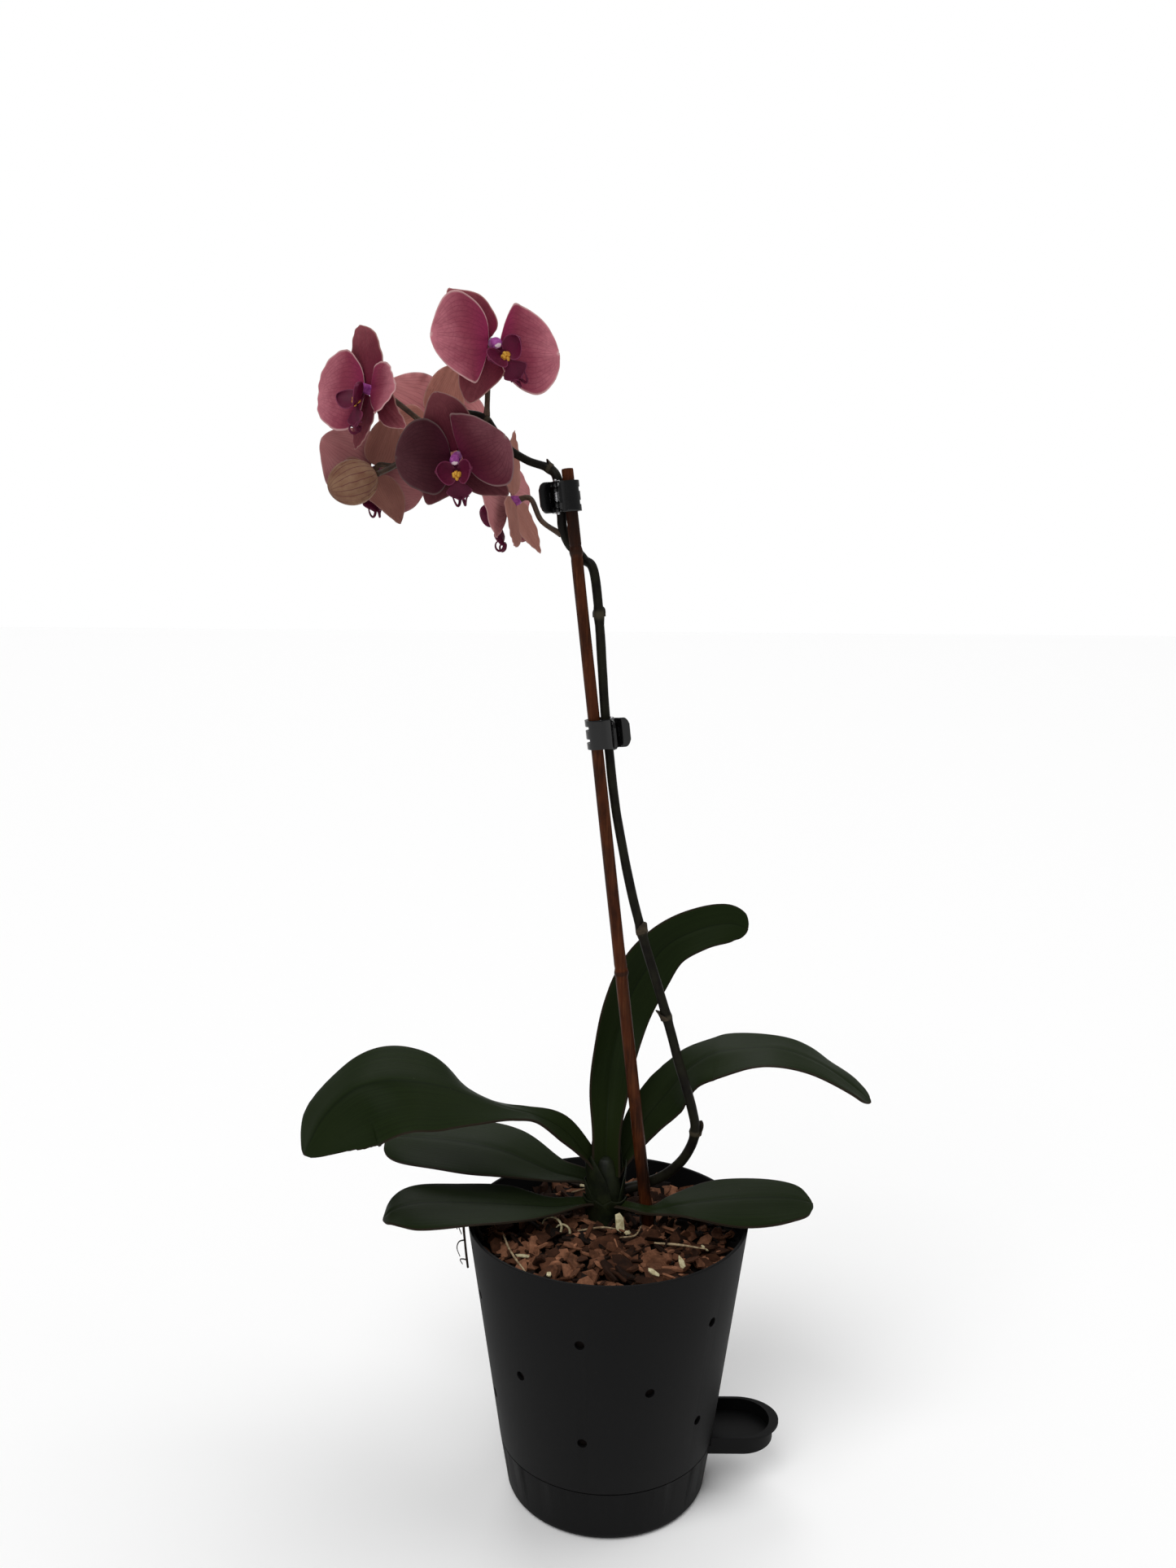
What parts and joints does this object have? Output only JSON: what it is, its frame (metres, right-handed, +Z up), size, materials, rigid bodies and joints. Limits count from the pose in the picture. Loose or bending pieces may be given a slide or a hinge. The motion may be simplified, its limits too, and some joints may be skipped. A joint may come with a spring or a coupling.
{
  "type": "potted orchid",
  "caption": "Moth orchid in flower in a self-watering pot with a side filler spout, its arching spike held to a bamboo stake by sprung claw clips.",
  "frame": {"origin": "centre of the reservoir base's flat underside", "axes": "+Z up, +X from the pot's centre towards the filler spout"},
  "size_m": [0.2996, 0.15, 0.6221],
  "materials": {
    "matte_black_plastic": "fine matte moulding, charcoal black",
    "bark": "dry chipped bark, reddish brown",
    "crown_green": "dark green, satin",
    "leaf_green": "thick dark green leaf, satin",
    "bamboo": "bare bamboo, orange brown with dark mottles",
    "stem_green": "dark green to black, satin",
    "petal_pink": "soft petal, dusky pink with pale rims",
    "lip_purple": "velvety deep purple",
    "bud_olive": "closed bud, olive with purple veins",
    "root_brown": "dry, papery, dark brown",
    "clip_black": "gloss black",
    "spring_steel": "plain spring wire"
  },
  "bodies": {
    "plant": {"reservoir_base": "matte_black_plastic", "pot_body": "matte_black_plastic", "bark_bed": "bark", "crown": "crown_green", "stake": "bamboo", "root_over_rim": "root_brown", "leaf_upper_left": "leaf_green", "leaf_lower_left": "leaf_green", "leaf_low_left": "leaf_green", "leaf_upright": "leaf_green", "leaf_right": "leaf_green", "leaf_low_right": "leaf_green", "flower_spike": "stem_green", "bud": "bud_olive", "flower_top_dorsal_sepal": "petal_pink", "flower_top_sepal_left": "petal_pink", "flower_top_sepal_right": "petal_pink", "flower_top_petal_left": "petal_pink", "flower_top_petal_right": "petal_pink", "flower_top_lip": "lip_purple", "flower_left_dorsal_sepal": "petal_pink", "flower_left_sepal_left": "petal_pink", "flower_left_sepal_right": "petal_pink", "flower_left_petal_left": "petal_pink", "flower_left_petal_right": "petal_pink", "flower_left_lip": "lip_purple", "flower_front_dorsal_sepal": "petal_pink", "flower_front_sepal_left": "petal_pink", "flower_front_sepal_right": "petal_pink", "flower_front_petal_left": "petal_pink", "flower_front_petal_right": "petal_pink", "flower_front_lip": "lip_purple", "flower_back_dorsal_sepal": "petal_pink", "flower_back_sepal_left": "petal_pink", "flower_back_sepal_right": "petal_pink", "flower_back_petal_left": "petal_pink", "flower_back_petal_right": "petal_pink", "flower_back_lip": "lip_purple", "flower_low_dorsal_sepal": "petal_pink", "flower_low_sepal_left": "petal_pink", "flower_low_sepal_right": "petal_pink", "flower_low_petal_left": "petal_pink", "flower_low_petal_right": "petal_pink", "flower_low_lip": "lip_purple", "flower_right_dorsal_sepal": "petal_pink", "flower_right_sepal_left": "petal_pink", "flower_right_sepal_right": "petal_pink", "flower_right_petal_left": "petal_pink", "flower_right_petal_right": "petal_pink", "flower_right_lip": "lip_purple", "upper_clip_rear_jaw": "clip_black", "upper_clip_pin": "spring_steel", "upper_clip_spring": "spring_steel", "lower_clip_rear_jaw": "clip_black", "lower_clip_pin": "spring_steel", "lower_clip_spring": "spring_steel"},
    "upper_clip_jaw": {"upper_clip_front_jaw": "clip_black"},
    "lower_clip_jaw": {"lower_clip_front_jaw": "clip_black"}
  },
  "joints": [
    {"name": "upper_clip_hinge", "type": "hinge", "parent": "plant", "child": "upper_clip_jaw", "pos_m": [-0.02883, -0.00939, 0.52628], "axis": [0.1139, 0.0347, -0.9929], "range_deg": [0, 38], "stiffness_Nm_per_rad": 0.02, "springref_deg": -34.38},
    {"name": "lower_clip_hinge", "type": "hinge", "parent": "plant", "child": "lower_clip_jaw", "pos_m": [0, -0.00411, 0.40952], "axis": [-0.1139, -0.0347, 0.9929], "range_deg": [0, 38], "stiffness_Nm_per_rad": 0.02, "springref_deg": -34.38}
  ]
}
